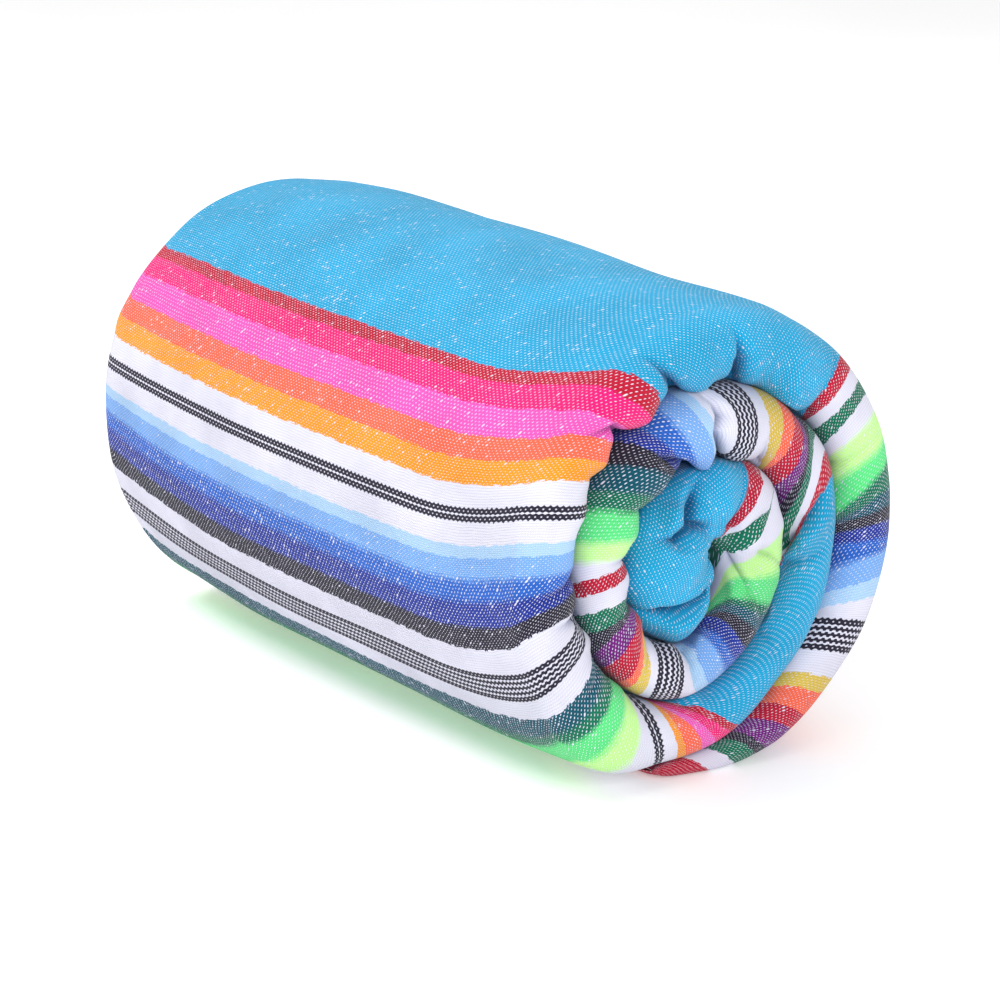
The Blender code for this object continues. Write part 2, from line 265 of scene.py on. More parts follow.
# Seams between stretches, which tuck one row under the next stretch
SEAM = 0.00015
SEAM_TUCK = 0.0008
TUCK_ANGLE = 1.0

# Threads of the core's plain lump: their direction, and how they part from the winding
LUMP_TURN = 156
LUMP_BLEND = 0.0006
LUMP_STRETCH = 1.3

# Plies inside the roll: how far they stand in from the cloth, and their rings of points
INNER_INSET = 0.0055
INNER_LOW = 0.0180
INNER_POINTS = 120
INNER_RINGS = 16
CAP_RINGS = 8
CAP_HOLE = 0.03
CAP_WAVE = 0.0012
CAP_WAVE_TURN = 40

# Painted shade: cloth deep in a crease or in the gap beside the next turn is painted darker, where shade
# falls
FULL_PAINTED_SHADE = 0.005
GAP_SPREAD = 26
GAP_EASE = 8
CORE_OPENS = 780
CORE_OPENING = 60
PAINTED_SHADE_LOSS = (0.60, 0.54, 0.42)

# Bands of fine lines on white, in millimetres: their sizes, and braided lines made of links
LINE_BANDS = ("five lines", "two lines")
FIVE_BAND = 18.0
TWO_BAND = 7.6
FIVE_PAIR = 6.6
TWO_PAIR = 1.88
CHAIN_PITCH = 2.5
CHAIN_SIDE = 1.44
CHAIN_SWELL = 0.28
CHAIN_BLUR = (0.18, -0.12)
CHAIN_EYE = (0.22, 0.5)

# The three thin zigzag lines between the braided ones, in millimetres
THIN_SPACE = 1.55
THIN_REACH = 4.65
THIN_SWING = 0.42
THIN_TURN = 0.6
THIN_BLUR = (1.08, 0.82)

# Weave: uneven threads and flecks, as shares of their pitch or size
WANDER_GRAIN = 110.0
ROW_WANDER = 1.4
FLECK_WANDER = 0.9
FLECK_SIZE = 0.72
FLECK_SIZE_SPREAD = 0.45
FLECK_LIGHT = 0.85
FLECK_LIGHT_SPREAD = 0.3
FLECK_BLUR = (1.2, 0.5)
FLECK_SLANT = 0.35
FLECK_HEIGHT = 0.7
SLUB_RARITY = 0.97
SLUB_SIZE = 0.8
STRAY = 0.9
DRIFT_GRAIN = 28.0
GROOVE_PLACE = (0.24, 0.5)
# Painted shade in the grooves between threads, and their depth in the relief
GROOVE_SHADE = 0.3
GROOVE_DEPTH = 0.8

# Surface of the cloth: tones and roughness as they drift, the lift that evens out the painted shade in the
# grooves, and the relief of the threads
DRIFT_TONES = (0.86, 1.04)
GROOVE_TONE = 1.06
LEAST_FLECKS = 0.05
ROUGHNESS = (0.96, 0.84)
RELIEF_STRENGTH = 0.55

# Dyes: neighbours that change softly, over millimetres, and how much of the flecks each colour shows
RAMP_STOPS = 28
SOFT_START = 0.35
SOFT_MOST = 0.8
SOFT_STEPS = (0.2, 0.4, 0.6, 0.8)
SOFT_SIDES = {("sky", "blue"): 2.5, ("blue", "indigo"): 2.5, ("indigo", "black"): 1.5,
              ("black", "teal"): 2, ("teal", "pine"): 3, ("pine", "green"): 3, ("green", "lime"): 4,
              ("lime", "white"): 3}
PALE_STARTS = {"sky": ("pale sky", 0.42)}
FLECK_SHARE = {"white": 0.0, "five lines": 0.0, "two lines": 0.0, "pale sky": 0.7, "sky": 0.85,
               "turquoise": 0.8, "lime": 0.7, "green": 0.8, "mustard": 0.8, "black": 0.9,
               "hot pink": 0.82, "pink": 0.85, "coral": 0.85, "orange": 0.85, "red": 0.9}
INNER_TONE = (0.05, 0.22, 0.34)

# Studio: each light's name, place, width in metres and power in watts, and the camera
LIGHTS = [
    ("key light", (-0.7, -1.2, 2.0), 0.8, 36.5),
    ("fill light", (2.0, -0.6, 0.9), 1.2, 29.0),
    ("top light", (0.2, 0.6, 2.2), 1.8, 12.0),
]
WORLD_LIGHT = 0.52
FLOOR_GLOW = 0.26
CAMERA_TURN = 54.0
CAMERA_LIFT = 16.44
CAMERA_DISTANCE = 1.397
CAMERA_LENS = 119.7
CAMERA_SHIFT = (0.0223, -0.0418)


def dye(name, description, colour):
    """A colour that a user would change."""
    return FloatVectorProperty(name=name, description=description, subtype="COLOR", default=colour,
                               min=0.0, max=1.0)


class SerapeColours(bpy.types.PropertyGroup):
    """Dyes of the threads."""

    turquoise: dye("Turquoise", "Wide plain bands", (0.010, 0.335, 0.59))
    white: dye("White", "Undyed stripes and the threads that fleck the others", (0.66, 0.655, 0.77))
    black: dye("Black", "Dark stripes and fine lines", (0.020, 0.018, 0.032))
    red: dye("Red", "Deep red stripes", (0.46, 0.010, 0.035))
    hot_pink: dye("Hot pink", "Strong pink stripes", (0.80, 0.012, 0.18))
    pink: dye("Pink", "Light pink stripes", (0.79, 0.09, 0.45))
    coral: dye("Coral", "Stripes between pink and orange", (0.86, 0.13, 0.065))
    orange: dye("Orange", "Orange stripes", (0.86, 0.29, 0.012))
    mustard: dye("Mustard", "Dull yellow stripes", (0.64, 0.46, 0.08))
    lime: dye("Lime", "Light yellow-green stripes", (0.50, 0.86, 0.29))
    green: dye("Green", "Bright green stripes", (0.10, 0.68, 0.21))
    pine: dye("Pine", "Dark green stripes", (0.0044, 0.15, 0.08))
    teal: dye("Teal", "Dark blue-green stripes", (0.0044, 0.08, 0.12))
    pale_sky: dye("Pale sky", "Faded light blue stripes", (0.36, 0.56, 0.80))
    sky: dye("Sky", "Light blue stripes", (0.17, 0.37, 0.76))
    blue: dye("Blue", "Middle blue stripes", (0.022, 0.12, 0.52))
    indigo: dye("Indigo", "Deep blue stripes", (0.016, 0.036, 0.29))
    purple: dye("Purple", "Purple stripes", (0.15, 0.012, 0.18))


def thread_size(name, description, metres):
    """A length of the weave that a user would change."""
    return FloatProperty(name=name, description=description, default=metres, unit="LENGTH", precision=5)


class SerapeSizes(bpy.types.PropertyGroup):
    """Sizes of the weave."""

    row_pitch: thread_size("Row pitch", "Distance between rows of flecks", 0.0011)
    fleck_pitch: thread_size("Fleck pitch", "Distance between flecks in a row", 0.0020)
    fleck_length: thread_size("Fleck length", "Half the length of a fleck", 0.00037)
    fleck_width: thread_size("Fleck width", "Half the width of a fleck", 0.0003)
    relief: thread_size("Relief", "Height of the threads that show through", 0.0004)


def smooth_between(table, winding):
    """Radius at winding angles: a smooth curve through the rows of a table."""
    places, radii = table[:, 0], table[:, 1]
    last = len(places) - 1
    here = np.clip(np.searchsorted(places, winding) - 1, 0, last - 1)
    there = here + 1
    before = np.maximum(here - 1, 0)
    after = np.minimum(here + 2, last)
    span = places[there] - places[here]
    slope_here = (radii[there] - radii[before]) / (places[there] - places[before]) * span
    slope_there = (radii[after] - radii[here]) / (places[after] - places[here]) * span
    t = np.clip((winding - places[here]) / span, 0.0, 1.0)
    return (radii[here] * (2 * t**3 - 3 * t**2 + 1) + slope_here * (t**3 - 2 * t**2 + t)
            + radii[there] * (3 * t**2 - 2 * t**3) + slope_there * (t**3 - t**2))


def outer_radius(winding):
    """Radius of the strip's outer face."""
    return smooth_between(OUTER_FACE, winding)


def inner_radius(winding):
    """Radius of the strip's inner face: it lies on the next turn, or it is the core's own."""
    return np.where(winding + TURN <= CORE_END, outer_radius(winding + TURN),
                    smooth_between(CORE_INNER_FACE, winding))


def tip_x(winding):
    """Distance of a fold's tip from the roll's middle."""
    inward = (winding - FREE_EDGE) / (CORE_END - FREE_EDGE)
    drawn_in = np.maximum(1 - (winding - FREE_EDGE) / SETBACK_SPAN, 0)
    return ROLL_LENGTH / 2 - CORE_RISE * (1 - inward) - FREE_EDGE_SETBACK * drawn_in


def bulged(radius, x, winding):
    """Radius on the body, which is fuller half way along than at its ends, and less so low down."""
    along = x / (ROLL_LENGTH / 2 - FOLD_DEPTH)
    bulge = BODY_BULGE * (1 - LOW_SLACK * np.exp(-((winding - LOW_PLACE) / LOW_SPREAD)**2))
    return radius * (1 + bulge * np.maximum(1 - np.abs(along)**3, 0.0))


def around(x, radius, winding):
    """Points of the roll about its axis, eased on to the floor or on to the tucked free edge."""
    angle = np.radians(winding)
    floor = np.where(winding > FRONT, FREE_EDGE_LIFT, 0.0) - AXIS.z
    over = (radius * np.sin(angle) - floor) / FLOOR_SOFTNESS
    height = floor + FLOOR_SOFTNESS * np.logaddexp(0.0, over)
    return np.stack([x, radius * np.cos(angle), height], axis=-1)


def closing(winding):
    """One along the strip, falling to nothing at its rounded ends: the free edge and the core's."""
    free = np.clip(1 - (winding - FREE_EDGE) / FREE_CLOSING, 0, 1)
    core = np.clip(1 - (CORE_LAST - winding) / CORE_CLOSING, 0, 1)
    return np.sqrt(1 - FULL_CLOSING * np.maximum(free, core)**2)


def fold_section(winding, fold):
    """Distance from the middle and radius on a folded edge, at winding and fold angles."""
    outer = outer_radius(winding) - GAP / 2
    inner = inner_radius(winding) + GAP / 2
    middle = (outer + inner) / 2
    half = (outer - inner) / 2
    depth = np.minimum(FOLD_DEPTH, half)
    swing = np.radians(fold)
    close = closing(winding)
    x = tip_x(winding) - depth * (1 - np.cos(swing) * close)
    return x, middle + half * np.sin(swing) * close


def stripe_table():
    """Where each stripe starts along the cloth, in metres."""
    widths = np.array([stripe.width for stripe in STRIPES]) * MM
    return np.concatenate([[0.0], np.cumsum(widths)[:-1]])


STRIPE_STARTS = stripe_table()
CLOTH_LENGTH = STRIPE_STARTS[-1] + STRIPES[-1].width * MM


def edge_places(fold, skew):
    """Winding angles where the stripes start at a fold angle: a curve through their three readings."""
    outer, tip, inner = (np.array([getattr(stripe, side) for stripe in STRIPES], dtype=float)
                         for side in ("outer", "tip", "inner"))
    t = -fold / 90
    reach = INNER_READING / 90
    curve = ((inner - tip) / reach + outer - tip) / (reach + 1)
    slope = (inner - tip) / reach - curve * reach
    return outer + skew * (tip + slope * t + curve * t**2 - outer)


def body_places(x, shoulder):
    """Winding angles where the stripes start at a place along the body."""
    outer = np.array([stripe.outer for stripe in STRIPES], dtype=float)
    ease = 1 - (1 - np.clip((shoulder - x) / SHIFT_LENGTH, 0, 1))**2
    far = np.clip(-x / shoulder, 0, 1)**2
    shift = BODY_SHIFT + TOP_SHIFT * np.exp(-((outer - TOP_PLACE) / TOP_SPREAD)**2)
    shift += LOW_SHIFT * np.clip((outer - LOW_SHIFT_PLACE) / LOW_SHIFT_SPAN, 0, 1)
    calm = np.clip((outer - FREE_EDGE) / CALM_SPAN, 0, 1)
    far_shift = FAR_SHIFT + FAR_LOW_SHIFT * np.clip((outer - FAR_LOW_PLACE) / FAR_LOW_SPAN, 0, 1)
    return outer + calm * (shift * ease + far_shift * far)


def along_cloth(winding, places):
    """Distance along the cloth at winding angles, between stripes that start at given angles."""
    rising = np.maximum.accumulate(places + np.arange(len(places)) * LEAST_STRIPE)
    starts = np.append(STRIPE_STARTS, CLOTH_LENGTH)
    ends = np.append(rising, max(rising[-1] + 1, CORE_END + PAST_CORE))
    return np.interp(winding, ends, starts)


def line_counts(along):
    """Two counts that each rise by one across a band of fine lines and rest in between."""
    counts = []
    for kind in LINE_BANDS:
        knots, values = [0.0], [0.0]
        for stripe, start in zip(STRIPES, STRIPE_STARTS):
            if stripe.colour == kind:
                knots += [start, start + stripe.width * MM]
                values += [values[-1], values[-1] + 1]
        counts.append(np.interp(along, knots, values))
    return counts


def crease_push(creases, winding, across, radius, scale):
    """How far the creases push the cloth in, with both coordinates turned to metres. A crease is a sharp
    valley between raised sides, and a swelling is a round hill."""
    valley, hill, sides = (np.zeros_like(winding) for _ in range(3))
    for crease in creases:
        u = (winding - crease.from_winding) * np.radians(1) * radius
        v = (across - crease.from_fold) * scale
        run_u = (crease.to_winding - crease.from_winding) * np.radians(1) * radius
        run_v = (crease.to_fold - crease.from_fold) * scale
        t = np.clip((u * run_u + v * run_v) / (run_u**2 + run_v**2), 0, 1)
        away = ((u - t * run_u)**2 + (v - t * run_v)**2) / (crease.width * MM)**2
        depth = (crease.start + (crease.end - crease.start) * t) * MM
        sides -= SIDE_SHARE * depth * np.exp(-away / SIDE_SPREAD)
        if crease.end < 0:
            hill = np.minimum(hill, depth * np.exp(-away))
        else:
            fall = np.exp(-VALLEY_SHARPNESS * np.sqrt(away + VALLEY_ROUNDING))
            valley = np.maximum(valley, depth * fall)
    return valley + hill + np.clip(sides, -SIDE_LIMIT, SIDE_LIMIT)


def edge_push(w, f, radius, side):
    """How far the creases of a folded edge push it in; at the far end they are turned further round."""
    turn = FAR_TURN if side < 0 else 0
    return crease_push(EDGE_CREASES, w - turn, f, radius, FOLD_DEGREE)


def ripple(winding, across, phase):
    """Slow unevenness of thick soft cloth, between -1 and 1."""
    a, b = np.radians(winding), across / WAVE_LENGTH
    return sum(wave.share * np.sin(wave.round * a + wave.along * b + wave.phase * phase) for wave in WAVES)


def grid_normals(points):
    """Outward directions on a grid of points."""
    normal = np.cross(np.gradient(points, axis=1), np.gradient(points, axis=0))
    return normal / np.maximum(np.linalg.norm(normal, axis=-1, keepdims=True), 1e-12)


def settle(points, floor):
    """Keeps points above the floor and moves them from the roll's axis to the frame."""
    points[..., 2] = np.maximum(points[..., 2], floor - AXIS.z)
    return points + np.array(AXIS)


def fold_fan(count):
    """Fold angles of the columns of a folded edge, with its lip, from the valley to the outer side."""
    lip = [-90 - drop / FOLD_DEGREE for drop in LIP_DROPS]
    return np.array(lip + list(np.linspace(-90, 90, count)))


def edge_grid(winding, fan, side, tucked):
    """Points of one folded edge, at the near (+1) or far (-1) end."""
    w, f = np.meshgrid(winding, fan, indexing="ij")
    x, radius = fold_section(w, np.clip(f, -90, 90))
    x -= np.maximum(np.abs(f) - 90, 0) * FOLD_DEGREE
    points = around(x, radius, w)
    outward = grid_normals(points)
    depth = FAR_DEPTH if side < 0 else 1.0
    push = depth * edge_push(w, f, radius, side) + EDGE_RIPPLE * ripple(w, f * FOLD_DEGREE, side)
    half = (outer_radius(w) - inner_radius(w)) / 2
    slant = np.abs(np.sin(np.radians(np.clip(f, -90, 90))))
    room = SWELL_ROOM * half * (1 - slant) / np.maximum(slant, LEAST_SLANT)
    push = np.maximum(push, -room) * np.clip((LIP_END - np.abs(f)) / LIP_EASE, 0, 1)
    push += SEAM_TUCK * tucked[:, None]
    points -= outward * push[..., None]
    points[..., 0] *= side
    return points


def painted_shade_depths(winding, fan, side):
    """How deep each point of a folded edge lies in a crease or in the gap beside a turn, from 0 to 1: how
    much painted shade it gets.
    """
    w, f = np.meshgrid(winding, np.clip(fan, -90, 90), indexing="ij")
    _, radius = fold_section(w, f)
    crease = edge_push(w, f, radius, side) / FULL_PAINTED_SHADE
    inner = np.exp(-(f + 90) / GAP_SPREAD) * np.clip((CORE_OPENS - w) / CORE_OPENING, 0, 1)
    outer = np.exp(-(90 - f) / GAP_SPREAD) * np.clip((w - SECOND_START + GAP_EASE) / GAP_EASE, 0, 1)
    return np.clip(np.maximum(crease, np.maximum(inner, outer)), 0, 1)


def add_object(name, data):
    """Puts a mesh, a lamp or a camera into the scene."""
    thing = bpy.data.objects.new(name, data)
    bpy.context.scene.collection.objects.link(thing)
    return thing


def smooth_mesh(name, points, faces):
    """A smooth mesh from a grid of points and its faces."""
    mesh = bpy.data.meshes.new(name)
    mesh.from_pydata(points.reshape(-1, 3).tolist(), [], faces)
    mesh.shade_smooth()
    return mesh


def build_sheet(name, points, along, across, threads, hollow, bands):
    """A sheet of cloth on a grid of points, with maps for its stripes, line bands, threads, painted shade
    and bake."""
    rows, columns = points.shape[:2]
    index = np.arange(rows * columns).reshape(rows, columns)
    quads = np.stack([index[:-1, :-1], index[:-1, 1:], index[1:, 1:], index[1:, :-1]], axis=-1)
    mesh = smooth_mesh(name, points, quads.reshape(-1, 4).tolist())
    corners = quads.reshape(-1)
    maps = (("cloth", along, across), ("lines", *line_counts(along)), ("weave", *threads),
            ("hollow", hollow, hollow))
    for label, u, v in maps:
        put_map(mesh, label, u.reshape(-1)[corners], v.reshape(-1)[corners])
    put_bake_map(mesh, rows - 1, columns - 1, bands)
    return add_object(name, mesh)


def put_map(mesh, name, u, v):
    """Adds a map of the surface from its values at the face corners."""
    layer = mesh.uv_layers.new(name=name)
    layer.data.foreach_set("uv", np.stack([u, v], axis=-1).astype(np.float32).reshape(-1))


def put_bake_map(mesh, rows, columns, bands):
    """Lays the sheet out for baking, as bands side by side that fill the square."""
    row, column = np.meshgrid(np.arange(rows), np.arange(columns), indexing="ij")
    per_band = rows / bands
    band = np.floor(row / per_band)
    corners_u, corners_v = [], []
    for step_row, step_column in ((0, 0), (0, 1), (1, 1), (1, 0)):
        corners_u.append((row - band * per_band + step_row) / per_band)
        share = BAKE_MARGIN + (1 - 2 * BAKE_MARGIN) * (column + step_column) / columns
        corners_v.append((band + share) / bands)
    u, v = (np.stack(corners, axis=-1).reshape(-1) for corners in (corners_u, corners_v))
    put_map(mesh, "OFBake", u, v)


def with_tucks(winding, at_start, at_end):
    """Winding angles of a stretch's rows, with one more turned in under the next stretch at a seam."""
    before, after = [winding[0] - TUCK_ANGLE] * at_start, [winding[-1] + TUCK_ANGLE] * at_end
    tucked = [1.0] * at_start + [0.0] * len(winding) + [1.0] * at_end
    return np.array(before + list(winding) + after), np.array(tucked)


def wrap_piece():
    """The outer turn, all round: near lip and fold, body, far fold and lip."""
    close_from, close_to, share_from, share_to = CLOSE_ROWS
    winding = np.interp(np.linspace(0, 1, WRAP_ROWS + 1), (0, share_from, share_to, 1),
                        (FREE_EDGE, close_from, close_to, SECOND_START))
    winding, tucked = with_tucks(winding, False, True)
    near_fan, far_fan = fold_fan(NEAR_COLUMNS), fold_fan(FAR_COLUMNS)
    near = edge_grid(winding, near_fan, 1, tucked)
    far = edge_grid(winding, far_fan, -1, tucked)
    shoulder, _ = fold_section(winding, np.full_like(winding, 90.0))
    share = 1 - 2 * (np.arange(BODY_COLUMNS) + 1) / (BODY_COLUMNS + 1)
    w = np.repeat(winding[:, None], BODY_COLUMNS, axis=1)
    x = shoulder[:, None] * share[None, :]
    radius = bulged(fold_section(w, np.full_like(w, 90.0))[1], x, w)
    body = around(x, radius, w)
    push = crease_push(BODY_CREASES, w, x, radius, 1.0) + BODY_RIPPLE * ripple(w, x, BODY_PHASE)
    push = push * np.clip((1 - np.abs(share)) * BODY_EASE, 0, 1) + SEAM_TUCK * tucked[:, None]
    body -= grid_normals(body) * push[..., None]
    points = settle(np.concatenate([near, body, far[:, ::-1]], axis=1), 0.0)
    middle = float(np.median(shoulder))
    along = [along_cloth(winding, edge_places(f, 1.0)) for f in np.clip(near_fan, -90, 90)]
    along += [along_cloth(winding, body_places(middle * s, middle)) for s in share]
    strayed = body_places(-middle, middle) - body_places(middle, middle)
    along += [along_cloth(winding, edge_places(f, FAR_SKEW) + strayed)
              for f in np.clip(far_fan, -90, 90)[::-1]]
    across = np.concatenate([(90 - near_fan) * FOLD_DEGREE, middle * (share - 1),
                             (far_fan[::-1] - 90) * FOLD_DEGREE - 2 * middle])
    across = np.repeat(across[None, :], len(winding), axis=0)
    along = np.stack(along, axis=1)
    hollow = np.concatenate([painted_shade_depths(winding, near_fan, 1), np.zeros_like(w),
                             painted_shade_depths(winding, far_fan, -1)[:, ::-1]], axis=1)
    return build_sheet("wrap", points, along, across, (along, across), hollow, 1)


def stretch_piece(name, start, end, rows, side):
    """The folded edge of an inner turn at one end of the roll, from valley to valley."""
    seam = math.degrees(SEAM / float(inner_radius(np.array(float(start)))))
    last = end >= CORE_END
    winding = np.linspace(start + seam, CORE_LAST if last else end, rows + 1)
    winding, tucked = with_tucks(winding, True, not last)
    fan = fold_fan(CORE_COLUMNS if last else NEAR_COLUMNS)
    fan = np.concatenate([fan, -fan[:len(LIP_DROPS)][::-1]])
    points = settle(edge_grid(winding, fan, side, tucked), 0.0)
    skew = 1.0 if side > 0 else FAR_SKEW
    along = np.stack([along_cloth(winding, edge_places(f, skew)) for f in np.clip(fan, -90, 90)], axis=1)
    across = np.repeat(((90 - fan) * FOLD_DEGREE)[None, :], len(winding), axis=0)
    threads = unfanned(winding, fan, along, across)
    hollow = painted_shade_depths(winding, fan, side)
    if side < 0:
        hollow = hollow[:, ::-1]
        points, along, across = points[:, ::-1], along[:, ::-1], across[:, ::-1]
        threads = [grid[:, ::-1] for grid in threads]
    return build_sheet(name, points, along, across, threads, hollow, 3)


def unfanned(winding, fan, along, across):
    """Threads of the core's plain lump, which run straight over it and don't meet at its middle."""
    w, f = np.meshgrid(winding, fan, indexing="ij")
    _, radius = fold_section(w, np.clip(f, -90, 90))
    y, z = radius * np.cos(np.radians(w)), radius * np.sin(np.radians(w))
    turn = math.radians(LUMP_TURN)
    straight = STRIPE_STARTS[-1] + LUMP_STRETCH * (y * math.cos(turn) + z * math.sin(turn))
    sideways = LUMP_STRETCH * (z * math.cos(turn) - y * math.sin(turn))
    share = np.clip((along - STRIPE_STARTS[-1]) / LUMP_BLEND, 0, 1)
    return along + (straight - along) * share, across + (sideways - across) * share


def inner_piece():
    """The plies inside the roll, as one rounded body."""
    winding = np.linspace(FREE_EDGE, SECOND_START, INNER_POINTS, endpoint=False)
    outline = outer_radius(winding) - INNER_INSET
    ends = tip_x(winding) - INNER_LOW
    cap = [(CAP_WAVE * np.sin(CAP_WAVE_TURN * share), share)
           for share in np.linspace(CAP_HOLE, 1 - CAP_HOLE, CAP_RINGS)]
    rings = [around(ends + wave, outline * share, winding) for wave, share in cap]
    for share in np.linspace(1, -1, INNER_RINGS):
        rings.append(around(ends * share, bulged(outline, ends * share, winding), winding))
    rings += [around(-ends - wave, outline * share, winding) for wave, share in reversed(cap)]
    points = settle(np.stack(rings), WALL)
    index = np.arange(len(rings) * INNER_POINTS).reshape(len(rings), INNER_POINTS)
    after = np.roll(index, -1, axis=1)
    quads = np.stack([index[:-1], index[1:], after[1:], after[:-1]], axis=-1).reshape(-1, 4).tolist()
    faces = quads + [index[0].tolist(), index[-1][::-1].tolist()]
    return add_object("inner_plies", smooth_mesh("inner_plies", points, faces))


def put(tree, kind, **settings):
    """Adds a node with its settings."""
    node = tree.nodes.new(kind)
    for name, value in settings.items():
        setattr(node, name, value)
    return node


def feed(tree, socket, value):
    """Gives an input socket another node's output, or a plain value."""
    if isinstance(value, bpy.types.NodeSocket):
        tree.links.new(value, socket)
    else:
        socket.default_value = value


def calc(tree, operation, *values):
    """A math node on numbers or outputs."""
    node = put(tree, "ShaderNodeMath", operation=operation)
    for socket, value in zip(node.inputs, values):
        feed(tree, socket, value)
    return node.outputs[0]


def ease_between(tree, value, low, high, low_out=0.0, high_out=1.0):
    """A soft step between two values."""
    node = put(tree, "ShaderNodeMapRange", interpolation_type="SMOOTHSTEP")
    for socket, given in zip(node.inputs, (value, low, high, low_out, high_out)):
        feed(tree, socket, given)
    return node.outputs[0]


def blend(tree, share, first, second, kind="MIX"):
    """A mix of two colours."""
    node = put(tree, "ShaderNodeMix", data_type="RGBA", blend_type=kind)
    feed(tree, node.inputs[0], share)
    feed(tree, node.inputs[6], first)
    feed(tree, node.inputs[7], second)
    return node.outputs[2]


def noise(tree, vector, scale, detail=2.0):
    """Soft noise at a scale per metre."""
    node = put(tree, "ShaderNodeTexNoise")
    feed(tree, node.inputs["Vector"], vector)
    node.inputs["Scale"].default_value = scale
    node.inputs["Detail"].default_value = detail
    return node.outputs["Fac"]


def distance(tree, first, second):
    """Length of a step with two coordinates."""
    squared = calc(tree, "MULTIPLY", second, second)
    return calc(tree, "SQRT", calc(tree, "MULTIPLY_ADD", first, first, squared))


def grey(tree, tone):
    """A grey colour of one tone."""
    node = put(tree, "ShaderNodeCombineColor")
    for socket in node.inputs[:3]:
        feed(tree, socket, tone)
    return node.outputs[0]


def new_group(name, inputs, outputs):
    """A shader node group with named sockets."""
    tree = bpy.data.node_groups.new(name, "ShaderNodeTree")
    for label, kind in inputs:
        tree.interface.new_socket(label, in_out="INPUT", socket_type=kind)
    for label, kind in outputs:
        tree.interface.new_socket(label, in_out="OUTPUT", socket_type=kind)
    return tree, put(tree, "NodeGroupInput"), put(tree, "NodeGroupOutput")


def dye_stops(colours):
    """Places along the cloth where the dye changes: place, colour, and share of white flecks. Some
    neighbours change over a few threads, by steps."""
    stops = []
    for number, stripe in enumerate(STRIPES):
        start = STRIPE_STARTS[number]
        here = dyed_thread(colours, stripe.colour)
        if stripe.colour in PALE_STARTS:
            faded, part = PALE_STARTS[stripe.colour]
            stops += [(start, dyed_thread(colours, faded)), (start + stripe.width * part * MM, here)]
        else:
            before = STRIPES[max(number - 1, 0)]
            width = SOFT_SIDES.get((before.colour, stripe.colour), 0.0)
            width = min(width, SOFT_MOST * before.width, SOFT_MOST * stripe.width) * MM
            if width:
                for share in SOFT_STEPS:
                    stops.append((start + width * (share - SOFT_START), last + (here - last) * share))
            stops.append((start + width * (1 - SOFT_START), here))
        last = here
    return stops


def dyed_thread(colours, name):
    """Colour of a stripe and its share of white flecks. The bands of fine lines lie on white."""
    dyed = "white" if name in LINE_BANDS else name.replace(" ", "_")
    return np.array([*getattr(colours, dyed), FLECK_SHARE.get(name, 1.0)])


def stripe_group(colours):
    """Node group for the dyed stripes: their colour, and how much the white threads show in them."""
    tree, given, result = new_group(
        "Serape stripes", [("Along", "NodeSocketFloat")],
        [("Colour", "NodeSocketColor"), ("Flecks", "NodeSocketFloat")])
    colour, flecks = None, None
    dyes = dye_stops(colours)
    for first in range(0, len(dyes), RAMP_STOPS):
        batch = dyes[first:first + RAMP_STOPS]
        low = batch[0][0]
        high = dyes[first + len(batch)][0] if first + len(batch) < len(dyes) else CLOTH_LENGTH
        place = calc(tree, "DIVIDE", calc(tree, "SUBTRACT", given.outputs[0], low), high - low)
        ramp = put(tree, "ShaderNodeValToRGB")
        ramp.color_ramp.interpolation = "CONSTANT"
        feed(tree, ramp.inputs[0], place)
        stops = ramp.color_ramp.elements
        stops.remove(stops[1])
        for number, (start, dyed) in enumerate(batch):
            position = (start - low) / (high - low)
            stop = stops[0] if number == 0 else stops.new(position)
            stop.position = position
            stop.color = dyed.tolist()
        if colour is None:
            colour, flecks = ramp.outputs[0], ramp.outputs[1]
        else:
            beyond = calc(tree, "GREATER_THAN", given.outputs[0], low)
            colour = blend(tree, beyond, colour, ramp.outputs[0])
            change = calc(tree, "SUBTRACT", ramp.outputs[1], flecks)
            flecks = calc(tree, "MULTIPLY_ADD", change, beyond, flecks)
    tree.links.new(colour, result.inputs[0])
    tree.links.new(flecks, result.inputs[1])
    return tree


def chain(tree, off, link):
    """Mask of a braided line, at a distance off its middle: scalloped links, each with a white eye."""
    swell = calc(tree, "COSINE", calc(tree, "MULTIPLY", link, 2 * math.pi))
    side = calc(tree, "MULTIPLY_ADD", swell, CHAIN_SWELL, CHAIN_SIDE)
    past = calc(tree, "SUBTRACT", calc(tree, "ABSOLUTE", off), side)
    body = ease_between(tree, past, *CHAIN_BLUR)
    away = distance(tree, calc(tree, "MULTIPLY", link, CHAIN_PITCH), off)
    return calc(tree, "MULTIPLY", body, ease_between(tree, away, *CHAIN_EYE))


